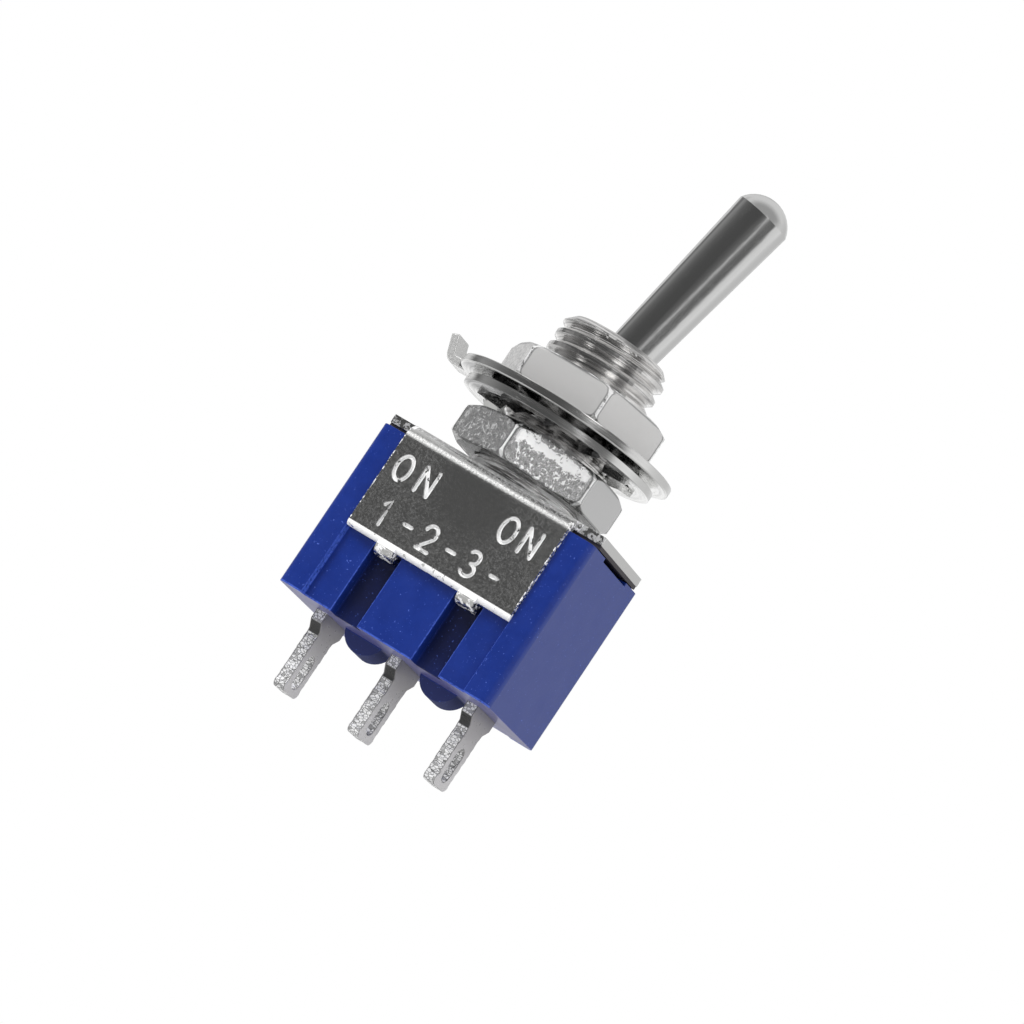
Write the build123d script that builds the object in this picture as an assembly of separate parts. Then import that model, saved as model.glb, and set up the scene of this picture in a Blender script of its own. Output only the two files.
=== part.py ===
from build123d import *
import math
import os

# Miniature two-way toggle switch for a panel, in millimetres
# Z = 0 is the top of the metal frame, on the bushing's axis, and +Z points out of the panel.
# X runs along the row of terminals, the lever swings in XZ, and it rests leaning to +X.

# Case: one moulding, open at the top
case_length = 13.0
case_depth = 7.9
case_height = 9.25
case_corner_radius = 0.5
end_wall = 1.15
side_wall_at_groove = 0.55
panel_recess = 0.35
groove_width = 1.66
groove_offset = 2.51
groove_depth = 0.7
notch_half_width = 1.9
notch_depth = 0.2
lug_width = 2.3
lug_drop = 0.85
lug_thickness = 1.5

# Frame: one folded sheet over the case, crimped into the case's grooves
sheet = 0.45
leg_half_width = 5.0
leg_length = 5.95
wing_half_depth = 3.2
frame_bend_radius = 0.8
leg_edge_radius = 0.25
crimp_width = 1.05
crimp_bend = 0.05
crimp_end_gap = 0.3

# Insulating sheet between the frame and the case
insulator_thickness = 0.2
insulator_side_gap = 0.2
insulator_wing_gap = 0.1

# Bushing: M6 x 0.75 outside, drawn at the thread's outer diameter
bushing_radius = 3.0
bushing_height = 9.0
bushing_lead = 0.45
bushing_shank_radius = 2.8
swage_radius = 3.05
seat_angle = 45.0
throat_margin_angle = 5.5
bore_straight = 1.0
keyway_width = 0.84
keyway_depth = 0.45

# Lever: turned in one piece, with a ball in the bushing and a hollow tail
pivot_height = 5.3
lever_angle = 11.5
ball_radius = 1.9
neck_radius = 1.2
shoulder_radius = 1.525
shoulder_distance = 13.0
tip_dome = 1.0
tail_radius = 1.0
tail_length = 8.9
spring_bore_depth = 4.3

# Cross pin through the ball
pin_radius = 0.4
pin_slot_depth = 0.47

# Plunger and its spring in the lever's tail
plunger_radius = 0.62
plunger_length = 3.6
plunger_stickout = 2.0
spring_wire = 0.17
spring_turns = 4.0
spring_wire_sides = 4

# Rocker: the moving contact, a dished strip that tips on the middle terminal
rocker_angle = 6.0
rocker_width = 2.1
rocker_end_margin = 0.15
rocker_thickness = 0.4
rocker_flat = 1.0
rocker_pivot_cover = 0.35
groove_in_rocker = 0.12
pad_offset = 3.5
pad_radius = 0.6
pad_height = 0.35
pad_dome_radius = 2.0

# Terminals: three stamped blades in a row
terminal_pitch = 4.7
blade_thickness = 0.7
blade_width = 1.9
blade_length = 4.25
blade_tip_radius = 0.35
shoulder_width = 2.8
shoulder_drop = 0.55
shoulder_slope = 0.4
shoulder_grip = 0.65
eye_length = 1.9
eye_width = 0.95
eye_from_tip = 1.3
tab_margin = 0.15
tab_thickness = 0.6
tab_bend_radius = 0.7
contact_height = 0.3
contact_edge = 0.12
saddle_gap = 0.1
ear_width = 0.5
ear_height = 0.8

# Nuts and washers on the bushing
nut_across_flats = 8.0
nut_height = 2.0
nut_face_share = 1.02
nut_chamfer_angle = 30.0
lower_nut_bottom = 0.62
lower_nut_turn = 29.0
upper_nut_turn = 5.8
washer_thickness = 0.45
washer_outer_radius = 6.05
tab_width = 1.6
tab_reach = 0.7
tab_length = 1.0
tab_rise_angle = 70.0
tab_bend_middle = 0.35
lock_washer_thickness = 0.4
lock_washer_outer_radius = 5.4
lock_washer_ring = 1.1
tooth_count = 10
tooth_width = 1.15
tooth_twist = 24.0
tooth_root_depth = 0.24

# Clearances
running_gap = 0.05
seat_gap = 0.02
pin_gap = 0.02
contact_gap = 0.03
thread_gap = 0.02
washer_gap = 0.1
slide_gap = 0.04
swing_gap = 0.15
leg_gap = 0.1
loose_gap = 0.44
face_gap = 0.05

# How far a cut runs on past the solid that it opens
overrun = 1.0

# Heights and places that follow from the sizes above
insulator_bottom = -sheet - insulator_thickness
case_top = insulator_bottom - face_gap
case_bottom = case_top - case_height
case_half_length = case_length / 2
case_half_depth = case_depth / 2
panel_face = case_half_depth - panel_recess
groove_face = panel_face - groove_depth
cavity_half_depth = groove_face - side_wall_at_groove
cavity_half_length = case_half_length - end_wall
frame_half_depth = panel_face + leg_gap + sheet
leg_bottom = -leg_length
crimp_top = leg_bottom - crimp_bend
pivot = (0, 0, pivot_height)
tilt = math.radians(lever_angle)
rock = math.radians(rocker_angle)
ball_seat_radius = ball_radius + running_gap
neck_height = math.sqrt(ball_radius ** 2 - neck_radius ** 2)
throat_angle = math.asin(neck_radius / ball_radius) + tilt + math.radians(throat_margin_angle)
throat_radius = ball_seat_radius * math.sin(throat_angle)

# The ball bears on a cone above it, which starts where the straight bore ends
seat = math.radians(seat_angle)
seat_apex = pivot_height + ball_seat_radius / math.sin(seat)
seat_height = seat_apex - ball_seat_radius / math.tan(seat)
throat_height = seat_apex - throat_radius / math.tan(seat)
spring_bore_radius = plunger_radius + slide_gap
plunger_tip_distance = tail_length + plunger_stickout
rocker_half_length = pad_offset + pad_radius + rocker_end_margin
rocker_dish_half = pad_offset - rocker_flat
tab_inner = pad_offset - pad_radius - tab_margin

# The washers lie up against the upper nut, with play over the lower nut
tooth_rise = (tooth_width * math.sin(math.radians(tooth_twist))
              + lock_washer_thickness * math.cos(math.radians(tooth_twist))) / 2
lock_washer_middle = lower_nut_bottom + nut_height + loose_gap + tooth_rise
washer_bottom = lock_washer_middle + tooth_rise + face_gap
upper_nut_bottom = washer_bottom + washer_thickness + face_gap

# The rocker's own heights, from its pivot axis up, with the strip level
blade_rise = blade_thickness / 2
rocker_top = blade_rise + seat_gap + rocker_pivot_cover
rocker_axis = pivot_height - plunger_tip_distance - seat_gap - rocker_top
blade_top = rocker_axis + blade_rise

# The dish under the plunger: the middle of the plunger's round end, seen from the rocker, moves from
# the bottom of the dish to this point as the lever goes from upright to its stop
tip_reach = plunger_tip_distance - plunger_radius
pivot_drop = pivot_height - rocker_axis
end_x = tip_reach * math.sin(tilt)
end_z = pivot_drop - tip_reach * math.cos(tilt)
seen_x = end_x * math.cos(rock) - end_z * math.sin(rock)
seen_rise = end_x * math.sin(rock) + end_z * math.cos(rock) - (pivot_drop - tip_reach)
dish_radius = (seen_x ** 2 + seen_rise ** 2) / (2 * seen_rise) + plunger_radius + seat_gap
wing_top = rocker_top + dish_radius - math.sqrt(dish_radius ** 2 - rocker_dish_half ** 2)
wing_bottom = wing_top - rocker_thickness
pad_bottom = wing_bottom - pad_height

# The fixed contacts lie just under the lowest point of the pad that rests on them
contact_top = (rocker_axis + (pad_bottom + pad_dome_radius) * math.cos(rock) - pad_offset * math.sin(rock)
               - pad_dome_radius - contact_gap)
plate_top = contact_top - contact_height
plate_bottom = plate_top - tab_thickness
case_floor = plate_bottom


def block(x0, x1, y0, y1, z0, z1):
    return Pos((x0 + x1) / 2, (y0 + y1) / 2, (z0 + z1) / 2) * Box(x1 - x0, y1 - y0, z1 - z0)


def upright(radius, z0, z1, x=0.0, y=0.0):
    return Pos(x, y, (z0 + z1) / 2) * Cylinder(radius, z1 - z0)


# A solid turned about Z from edges drawn in XZ, where X is the radius
def turned(edges):
    return revolve(Plane.XZ * make_face(edges), Axis.Z)


def build_case():
    body = block(-case_half_length, case_half_length, -case_half_depth, case_half_depth,
                 case_bottom, case_top)
    body = fillet(body.edges().filter_by(Axis.Z), case_corner_radius)
    for side in (-1, 1):
        outside = side * (case_half_depth + overrun)
        body -= block(-leg_half_width - seat_gap, leg_half_width + seat_gap,
                      *sorted((side * panel_face, outside)), case_bottom - overrun, case_top + overrun)
        for x in (-groove_offset, groove_offset):
            body -= block(x - groove_width / 2, x + groove_width / 2,
                          *sorted((side * groove_face, outside)), case_bottom - overrun, crimp_top + seat_gap)
    body -= block(-cavity_half_length, cavity_half_length, -cavity_half_depth, cavity_half_depth,
                  case_floor, case_top + overrun)
    body -= block(-case_half_length - overrun, case_half_length + overrun,
                  -notch_half_width, notch_half_width, case_top - notch_depth, case_top + overrun)
    for x in (-terminal_pitch, 0, terminal_pitch):
        half = blade_thickness / 2 + seat_gap
        body -= block(x - half, x + half, -blade_width / 2 - seat_gap, blade_width / 2 + seat_gap,
                      case_bottom - overrun, case_floor + overrun)
        body -= block(x - half, x + half, -shoulder_width / 2 - seat_gap, shoulder_width / 2 + seat_gap,
                      case_bottom - overrun, case_bottom + shoulder_grip + seat_gap)
    for x in (-terminal_pitch / 2, terminal_pitch / 2):
        body += build_lug(x)
    return body


# A half-round lug under the case, between two terminals
def build_lug(x):
    half = lug_width / 2
    radius = (half ** 2 + lug_drop ** 2) / (2 * lug_drop)
    centre = case_bottom - lug_drop + radius
    disc = Pos(x, 0, centre) * (Rot(90, 0, 0) * Cylinder(radius, lug_thickness))
    return disc & block(x - radius, x + radius, -lug_thickness, lug_thickness,
                        case_bottom - lug_drop, case_bottom + seat_gap)


# The frame's legs, and the strip of plate between them, as one folded channel
def build_channel():
    outline = Pos(0, leg_bottom / 2) * Rectangle(2 * frame_half_depth, leg_length)
    corners = outline.vertices().sort_by(Axis.Y)
    outline = fillet(corners[:2], leg_edge_radius)
    corners = outline.vertices().sort_by(Axis.Y)
    outline = fillet(corners[-2:], frame_bend_radius)
    inner_half = frame_half_depth - sheet
    inside = Pos(0, -sheet - leg_length / 2) * Rectangle(2 * inner_half, leg_length)
    corners = inside.vertices().sort_by(Axis.Y)
    inside = fillet(corners[-2:], frame_bend_radius - sheet)
    return extrude(Plane.YZ * (outline - inside), leg_half_width, both=True)


# One crimp: a strip that leaves the leg's edge and turns in under the case's ledge
def build_crimp(x, side):
    outer = frame_half_depth
    inner = outer - sheet
    centre = inner - crimp_bend
    end = groove_face + crimp_end_gap
    outer_bend = crimp_bend + sheet
    corner = math.sqrt(0.5)
    strip = make_face([
        ThreePointArc((outer, leg_bottom), (centre + outer_bend * corner, leg_bottom - outer_bend * corner),
                      (centre, leg_bottom - outer_bend)),
        Polyline((centre, leg_bottom - outer_bend), (end, leg_bottom - outer_bend), (end, crimp_top),
                 (centre, crimp_top)),
        ThreePointArc((centre, crimp_top), (centre + crimp_bend * corner, leg_bottom - crimp_bend * corner),
                      (inner, leg_bottom)),
        Polyline((inner, leg_bottom), (inner, leg_bottom + 2 * leg_edge_radius),
                 (outer, leg_bottom + 2 * leg_edge_radius), (outer, leg_bottom)),
    ])
    crimp = Pos(x, 0, 0) * extrude(Plane.YZ * strip, crimp_width / 2, both=True)
    return crimp if side > 0 else mirror(crimp, about=Plane.XZ)


def build_cover_frame():
    frame = build_channel()
    frame += block(-case_half_length, case_half_length, -wing_half_depth, wing_half_depth, -sheet, 0)
    for side in (-1, 1):
        for x in (-groove_offset, groove_offset):
            frame += build_crimp(x, side)
    frame -= upright(bushing_shank_radius + seat_gap, -sheet - overrun, overrun)
    return frame


def build_insulator():
    middle = frame_half_depth - frame_bend_radius - seat_gap
    wing = wing_half_depth - insulator_wing_gap
    strip = leg_half_width - insulator_side_gap
    layer = block(-strip, strip, -middle, middle, insulator_bottom, -sheet)
    layer += block(-case_half_length, case_half_length, -wing, wing, insulator_bottom, -sheet)
    return layer - upright(swage_radius + face_gap, insulator_bottom - overrun, overrun)


# How wide the bushing's bore must be, at a height from the pivot, where the lever has this radius
def swing_radius(height, radius):
    return abs(height) * math.tan(tilt) + radius / math.cos(tilt) + swing_gap


def build_bushing():
    mouth_height = bushing_height - pivot_height
    taper = (shoulder_radius - neck_radius) / (shoulder_distance - neck_height)
    mouth_radius = swing_radius(mouth_height, neck_radius + taper * (mouth_height - neck_height))
    bottom_radius = swing_radius(pivot_height - insulator_bottom, tail_radius)
    straight_end = pivot_height - bore_straight
    body = turned([
        Polyline((throat_radius, throat_height), (mouth_radius, bushing_height),
                 (bushing_radius - bushing_lead, bushing_height),
                 (bushing_radius, bushing_height - bushing_lead), (bushing_radius, 0),
                 (bushing_shank_radius, 0), (bushing_shank_radius, -sheet), (swage_radius, -sheet),
                 (swage_radius, insulator_bottom), (bottom_radius, insulator_bottom),
                 (ball_seat_radius, straight_end), (ball_seat_radius, seat_height),
                 (throat_radius, throat_height))])
    body -= block(-bushing_radius - overrun, keyway_depth - bushing_radius,
                  -keyway_width / 2, keyway_width / 2, 0, bushing_height + overrun)
    slot = pin_radius + pin_gap
    slot_end = ball_seat_radius + pin_slot_depth
    body -= block(-slot, slot, -slot_end, slot_end, insulator_bottom - overrun, pivot_height)
    body -= Pos(*pivot) * (Rot(90, 0, 0) * Cylinder(slot, 2 * slot_end))
    return body


# Everything on the lever is drawn upright with the pivot at the origin, then leaned over
def lean(shape):
    return Pos(*pivot) * (Rot(0, lever_angle, 0) * shape)


def build_lever():
    dome_radius = (shoulder_radius ** 2 + tip_dome ** 2) / (2 * tip_dome)
    top = shoulder_distance + tip_dome
    half_angle = math.asin(shoulder_radius / dome_radius) / 2
    dome_centre = top - dome_radius
    dome_middle = (dome_radius * math.sin(half_angle), dome_centre + dome_radius * math.cos(half_angle))
    tail_height = math.sqrt(ball_radius ** 2 - tail_radius ** 2)
    outline = [
        Line((0, -tail_length), (0, top)),
        ThreePointArc((0, top), dome_middle, (shoulder_radius, shoulder_distance)),
        Line((shoulder_radius, shoulder_distance), (neck_radius, neck_height)),
        ThreePointArc((neck_radius, neck_height), (ball_radius, 0), (tail_radius, -tail_height)),
        Polyline((tail_radius, -tail_height), (tail_radius, -tail_length), (0, -tail_length)),
    ]
    body = turned(outline)
    body -= upright(spring_bore_radius, -tail_length - overrun, spring_bore_depth - tail_length)
    body -= Rot(90, 0, 0) * Cylinder(pin_radius + pin_gap / 2, 2 * (ball_radius + overrun))
    return lean(body)


def build_pivot_pin():
    half = ball_seat_radius + pin_slot_depth - slide_gap
    return lean(Rot(90, 0, 0) * Cylinder(pin_radius, 2 * half))


def build_plunger():
    tip = -plunger_tip_distance
    top = tip + plunger_length
    corner = math.sqrt(0.5) * plunger_radius
    centre = tip + plunger_radius
    outline = [
        Polyline((0, tip), (0, top), (plunger_radius, top), (plunger_radius, centre)),
        ThreePointArc((plunger_radius, centre), (corner, centre - corner), (0, tip)),
    ]
    return lean(turned(outline))


def build_plunger_spring():
    start = -plunger_tip_distance + plunger_length + spring_wire / 2 + seat_gap
    end = spring_bore_depth - tail_length - spring_wire / 2 - seat_gap
    radius = spring_bore_radius - slide_gap - spring_wire / 2
    path = Pos(0, 0, start) * Helix((end - start) / spring_turns, end - start, radius)
    section = Plane(origin=path @ 0, z_dir=path % 0) * RegularPolygon(spring_wire / 2, spring_wire_sides)
    return lean(sweep(section, path=path, is_frenet=True))


def rest_on_pivot(shape):
    return Pos(0, 0, rocker_axis) * (Rot(0, -rocker_angle, 0) * shape)


def build_rocker_contact():
    centre = rocker_top + dish_radius
    outer = dish_radius + rocker_thickness
    under_half = math.sqrt(outer ** 2 - (centre - wing_bottom) ** 2)
    strip = make_face([
        ThreePointArc((-rocker_dish_half, wing_top), (0, rocker_top), (rocker_dish_half, wing_top)),
        Polyline((rocker_dish_half, wing_top), (rocker_half_length, wing_top),
                 (rocker_half_length, wing_bottom), (under_half, wing_bottom)),
        ThreePointArc((under_half, wing_bottom), (0, rocker_top - rocker_thickness),
                      (-under_half, wing_bottom)),
        Polyline((-under_half, wing_bottom), (-rocker_half_length, wing_bottom),
                 (-rocker_half_length, wing_top), (-rocker_dish_half, wing_top)),
    ])
    body = extrude(Plane.XZ * strip, rocker_width / 2, both=True)
    keel = blade_rise + groove_in_rocker
    body += block(-keel, keel, -rocker_width / 2, rocker_width / 2,
                  blade_rise - groove_in_rocker, rocker_top - rocker_thickness / 2)
    body -= Rot(90, 0, 0) * Cylinder(blade_rise + seat_gap, rocker_width + 2 * overrun)
    return rest_on_pivot(body)


# A silver button, domed, welded under the strip's end
def build_rocker_pad(x):
    edge = pad_bottom + pad_dome_radius - math.sqrt(pad_dome_radius ** 2 - pad_radius ** 2)
    lean_half = math.asin(pad_radius / pad_dome_radius) / 2
    middle = (pad_dome_radius * math.sin(lean_half),
              pad_bottom + pad_dome_radius * (1 - math.cos(lean_half)))
    outline = [
        ThreePointArc((0, pad_bottom), middle, (pad_radius, edge)),
        Polyline((pad_radius, edge), (pad_radius, wing_bottom), (0, wing_bottom), (0, pad_bottom)),
    ]
    return rest_on_pivot(Pos(x, 0, 0) * turned(outline))


# A silver button, flat on top, welded on the end terminal's plate
def build_contact(side):
    button = upright(pad_radius, plate_top, contact_top, side * pad_offset)
    return chamfer(button.edges().group_by(Axis.Z)[-1], contact_edge)


# The flat blade, seen along X: a wide root, sloped shoulders, a rounded tip and a solder eye
def build_blade(x, top):
    half = blade_width / 2
    root = shoulder_width / 2
    shoulder = case_bottom - shoulder_drop
    tip = case_bottom - blade_length
    blade = make_face(Polyline(
        (-half, top), (-half, case_bottom + shoulder_grip), (-root, case_bottom + shoulder_grip),
        (-root, shoulder), (-half, shoulder - shoulder_slope), (-half, tip), (half, tip),
        (half, shoulder - shoulder_slope), (root, shoulder), (root, case_bottom + shoulder_grip),
        (half, case_bottom + shoulder_grip), (half, top), close=True))
    blade = fillet(blade.vertices().sort_by(Axis.Y)[:2], blade_tip_radius)
    blade -= Pos(0, tip + eye_from_tip) * (Rot(0, 0, 90) * SlotOverall(eye_length, eye_width))
    return Pos(x, 0, 0) * extrude(Plane.YZ * blade, blade_thickness / 2, both=True)


def build_end_terminal(side):
    inner = terminal_pitch - blade_thickness / 2
    outer = terminal_pitch + blade_thickness / 2
    arm = make_face(Polyline(
        (inner, case_floor - tab_thickness), (inner, plate_bottom), (tab_inner, plate_bottom),
        (tab_inner, plate_top), (outer, plate_top), (outer, case_floor - tab_thickness), close=True))
    bend = arm.vertices().sort_by(lambda v: v.X + v.Y)[-1]
    arm = fillet(bend, tab_bend_radius)
    terminal = extrude(Plane.XZ * arm, blade_width / 2, both=True)
    terminal += build_blade(terminal_pitch, case_floor - tab_thickness / 2)
    return terminal if side > 0 else mirror(terminal, about=Plane.YZ)


# The middle blade ends in a rounded edge that the rocker tips on, between two ears
def build_centre_terminal():
    saddle_half = rocker_width / 2 + saddle_gap
    ear_half = saddle_half + ear_width
    terminal = build_blade(0, rocker_axis)
    terminal += block(-blade_rise, blade_rise, -ear_half, ear_half, case_floor, rocker_axis)
    terminal += Pos(0, 0, rocker_axis) * (Rot(90, 0, 0) * Cylinder(blade_rise, 2 * ear_half))
    for side in (-1, 1):
        terminal += block(-blade_rise, blade_rise, *sorted((side * saddle_half, side * ear_half)),
                          case_floor, blade_top + ear_height)
    return terminal


def build_nut(bottom, turn):
    corner = nut_across_flats / 2 / math.cos(math.pi / 6)
    face = nut_face_share * nut_across_flats / 2
    slope = (corner - face) * math.tan(math.radians(nut_chamfer_angle))
    top = bottom + nut_height
    prism = extrude(RegularPolygon(corner, 6), nut_height)
    envelope = turned([Polyline((0, bottom), (face, bottom), (corner, bottom + slope),
                                (corner, top - slope), (face, top), (0, top), (0, bottom))])
    nut = (Pos(0, 0, bottom) * (Rot(0, 0, turn) * prism)) & envelope
    return nut - upright(bushing_radius + thread_gap, bottom - overrun, top + overrun)


def build_locating_washer():
    top = washer_bottom + washer_thickness
    middle = washer_bottom + washer_thickness / 2
    hole = bushing_radius + washer_gap
    body = upright(washer_outer_radius, washer_bottom, top)
    body -= upright(hole, washer_bottom - overrun, top + overrun)
    tongue_half = keyway_width / 2 - slide_gap
    tongue_end = bushing_radius - keyway_depth + slide_gap
    body += block(-hole - slide_gap, -tongue_end, -tongue_half, tongue_half, washer_bottom, top)
    start = washer_outer_radius - washer_thickness
    bend_start = washer_outer_radius + tab_reach
    rise = math.radians(tab_rise_angle)
    bend_end = (-bend_start - tab_bend_middle * math.sin(rise),
                middle + tab_bend_middle * (1 - math.cos(rise)))
    path = Line((-start, middle), (-bend_start, middle))
    path += RadiusArc((-bend_start, middle), bend_end, tab_bend_middle)
    path += PolarLine(bend_end, tab_length, 180 - tab_rise_angle)
    strip = trace(path, washer_thickness)
    return body + extrude(Plane.XZ * strip, tab_width / 2, both=True)


def build_lock_washer():
    low = lock_washer_middle - lock_washer_thickness / 2
    high = low + lock_washer_thickness
    ring_inner = lock_washer_outer_radius - lock_washer_ring
    ring = upright(lock_washer_outer_radius, low, high)
    ring -= upright(ring_inner, low - overrun, high + overrun)
    tooth_tip = bushing_radius + washer_gap
    tooth_root = ring_inner + tooth_root_depth
    tooth = Pos((tooth_tip + tooth_root) / 2, 0, lock_washer_middle) * (
        Rot(tooth_twist, 0, 0) * Box(tooth_root - tooth_tip, tooth_width, lock_washer_thickness))
    for index in range(tooth_count):
        ring += Rot(0, 0, 360 / tooth_count * index) * tooth
    return ring


nodes = {
    "case": build_case(),
    "cover_frame": build_cover_frame(),
    "insulator_sheet": build_insulator(),
    "bushing": build_bushing(),
    "lever": build_lever(),
    "pivot_pin": build_pivot_pin(),
    "plunger": build_plunger(),
    "plunger_spring": build_plunger_spring(),
    "rocker_contact": build_rocker_contact(),
    "rocker_pad_left": build_rocker_pad(-pad_offset),
    "rocker_pad_right": build_rocker_pad(pad_offset),
    "contact_left": build_contact(-1),
    "contact_right": build_contact(1),
    "terminal_left": build_end_terminal(-1),
    "terminal_centre": build_centre_terminal(),
    "terminal_right": build_end_terminal(1),
    "lower_nut": build_nut(lower_nut_bottom, lower_nut_turn),
    "upper_nut": build_nut(upper_nut_bottom, upper_nut_turn),
    "locating_washer": build_locating_washer(),
    "lock_washer": build_lock_washer(),
}

os.makedirs("parts", exist_ok=True)
for name, shape in nodes.items():
    export_step(shape, f"parts/{name}.step")
print("rocker axis at z", round(rocker_axis, 4), "and lever axis at z", pivot_height)
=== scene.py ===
import bpy
import math
import random
from mathutils import Matrix, Vector


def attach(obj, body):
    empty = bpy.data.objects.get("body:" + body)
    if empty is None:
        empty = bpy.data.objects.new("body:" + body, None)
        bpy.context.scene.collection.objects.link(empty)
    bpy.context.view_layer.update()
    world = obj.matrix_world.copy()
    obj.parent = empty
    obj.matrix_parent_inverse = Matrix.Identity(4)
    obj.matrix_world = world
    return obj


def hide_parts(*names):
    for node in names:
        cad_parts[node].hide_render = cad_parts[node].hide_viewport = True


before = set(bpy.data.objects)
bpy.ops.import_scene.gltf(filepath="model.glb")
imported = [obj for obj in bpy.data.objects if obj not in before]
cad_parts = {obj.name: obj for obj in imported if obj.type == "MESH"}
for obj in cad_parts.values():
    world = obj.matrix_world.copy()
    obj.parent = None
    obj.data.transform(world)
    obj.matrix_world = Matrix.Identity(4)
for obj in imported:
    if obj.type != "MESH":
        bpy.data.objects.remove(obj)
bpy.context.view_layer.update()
scene = bpy.context.scene
scene.view_settings.view_transform = "Standard"
bpy.ops.object.select_all(action="DESELECT")

mm = 0.001  # pieces are modelled in millimetres and settled in metres


# Picking, modifiers and copies

def pick(*pieces):
    bpy.ops.object.select_all(action="DESELECT")
    for piece in pieces:
        piece.select_set(True)
    bpy.context.view_layer.objects.active = pieces[0]


def openMesh(piece):
    # Into edit mode with all of it selected
    pick(piece)
    bpy.ops.object.mode_set(mode="EDIT")
    bpy.ops.mesh.select_mode(type="VERT")
    bpy.ops.mesh.select_all(action="SELECT")


def closeMesh():
    bpy.ops.object.mode_set(mode="OBJECT")


def modify(piece, kind, **settings):
    pick(piece)
    modifier = piece.modifiers.new(kind.title(), kind)
    for key, value in settings.items():
        setattr(modifier, key, value)
    bpy.ops.object.modifier_apply(modifier=modifier.name)


def copyNode(node, name):
    # A copy of a node in millimetres, its loose triangles merged into whole faces
    piece = bpy.data.objects.new(name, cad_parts[node].data.copy())
    scene.collection.objects.link(piece)
    piece.data.materials.clear()
    piece.data.transform(Matrix.Scale(1 / mm, 4))
    openMesh(piece)
    bpy.ops.mesh.remove_doubles(threshold=0.0005)
    bpy.ops.mesh.dissolve_limited(angle_limit=math.radians(0.5))
    bpy.ops.mesh.normals_make_consistent(inside=False)
    closeMesh()
    return piece


def softenEdges(piece, width, segments=3):
    modify(piece, "BEVEL", width=width, segments=segments, limit_method="ANGLE",
           angle_limit=math.radians(28), use_clamp_overlap=True)


def settle(piece, body, slot, material, *nodes, smooth=50):
    # Smooth the piece with its flat faces kept flat, bring it to metres and hang it on its body
    pick(piece)
    bpy.ops.object.shade_smooth_by_angle(angle=math.radians(smooth))
    modify(piece, "WEIGHTED_NORMAL", weight=100, keep_sharp=True)
    piece.scale = (mm, mm, mm)
    bpy.ops.object.transform_apply(location=True, rotation=True, scale=True)
    piece.data.materials.clear()
    piece.data.materials.append(material)
    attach(piece, body)
    if nodes:
        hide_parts(*nodes)
    return piece


def drawLoop(name, points):
    # A loop of edges drawn by extruding one vertex from point to point, and back to the first
    bpy.ops.mesh.primitive_plane_add(size=1, location=(0, 0, 0))
    piece = bpy.context.object
    piece.name = name
    openMesh(piece)
    bpy.ops.mesh.merge(type="CENTER")
    bpy.ops.transform.translate(value=points[0])
    for start, end in zip(points, points[1:] + points[:1]):
        step = Vector(end) - Vector(start)
        bpy.ops.mesh.extrude_region_move(TRANSFORM_OT_translate={"value": step})
    bpy.ops.mesh.select_all(action="SELECT")
    bpy.ops.mesh.remove_doubles(threshold=0.001)
    closeMesh()
    return piece


def carve(piece, cutter, operation="DIFFERENCE"):
    modify(piece, "BOOLEAN", object=cutter, operation=operation, solver="EXACT")
    bpy.data.objects.remove(cutter, do_unlink=True)


# Nodes of the materials

def newNode(tree, kind, at=(0, 0), **settings):
    node = tree.nodes.new(kind)
    node.location = at
    for key, value in settings.items():
        setattr(node, key, value)
    return node


def setInput(tree, socket, value):
    # Numbers and colours are written, sockets are linked
    if isinstance(value, (int, float)):
        socket.default_value = value
    elif isinstance(value, tuple):
        socket.default_value = (*value, 1)
    else:
        tree.links.new(value, socket)


def makeGroup(name, inputs, outputs):
    group = bpy.data.node_groups.new(name, "ShaderNodeTree")
    for label, value in inputs.items():
        socket = group.interface.new_socket(name=label, in_out="INPUT", socket_type="NodeSocketFloat")
        socket.default_value = value
    for label in outputs:
        group.interface.new_socket(name=label, in_out="OUTPUT", socket_type="NodeSocketFloat")
    start = newNode(group, "NodeGroupInput", (-1100, 0))
    end = newNode(group, "NodeGroupOutput", (700, 0))
    return group, start, end


def newMaterial(name, color, metallic=0.0, roughness=0.4):
    material = bpy.data.materials.new(name)
    material.use_nodes = True
    tree = material.node_tree
    shader = tree.nodes["Principled BSDF"]
    shader.inputs["Base Color"].default_value = (*color, 1)
    shader.inputs["Metallic"].default_value = metallic
    shader.inputs["Roughness"].default_value = roughness
    return material, tree, shader


def placeGroup(tree, group, **values):
    node = newNode(tree, "ShaderNodeGroup", (-700, 0), node_tree=group)
    for label, value in values.items():
        node.inputs[label].default_value = value
    return node.outputs


def calc(tree, operation, *values, clamp=False):
    # One Math node
    node = newNode(tree, "ShaderNodeMath", (-400, 0), operation=operation, use_clamp=clamp)
    for socket, value in zip(node.inputs, values):
        setInput(tree, socket, value)
    return node.outputs[0]


def combine(tree, operation, values):
    # The same Math node over all the values in turn
    result = values[0]
    for value in values[1:]:
        result = calc(tree, operation, result, value)
    return result


def product(tree, *values):
    return combine(tree, "MULTIPLY", values)


def largest(tree, *values):
    return combine(tree, "MAXIMUM", values)


def absolute(tree, value):
    return calc(tree, "ABSOLUTE", value)


def opposite(tree, mask):
    return calc(tree, "SUBTRACT", 1.0, mask)


def distance(tree, x, y):
    return calc(tree, "SQRT", calc(tree, "MULTIPLY_ADD", x, x, product(tree, y, y)))


def ramp(tree, value, low, high, start=0.0, end=1.0, smooth=True):
    node = newNode(tree, "ShaderNodeMapRange", (-400, 0),
                   interpolation_type="SMOOTHSTEP" if smooth else "LINEAR")
    tree.links.new(value, node.inputs["Value"])
    for label, number in (("From Min", low), ("From Max", high), ("To Min", start), ("To Max", end)):
        setInput(tree, node.inputs[label], number)
    return node.outputs["Result"]


def fadeIn(tree, value, low, high):
    # From 0 at low to 1 at high, which are in millimetres
    return ramp(tree, value, low * mm, high * mm)


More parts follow.
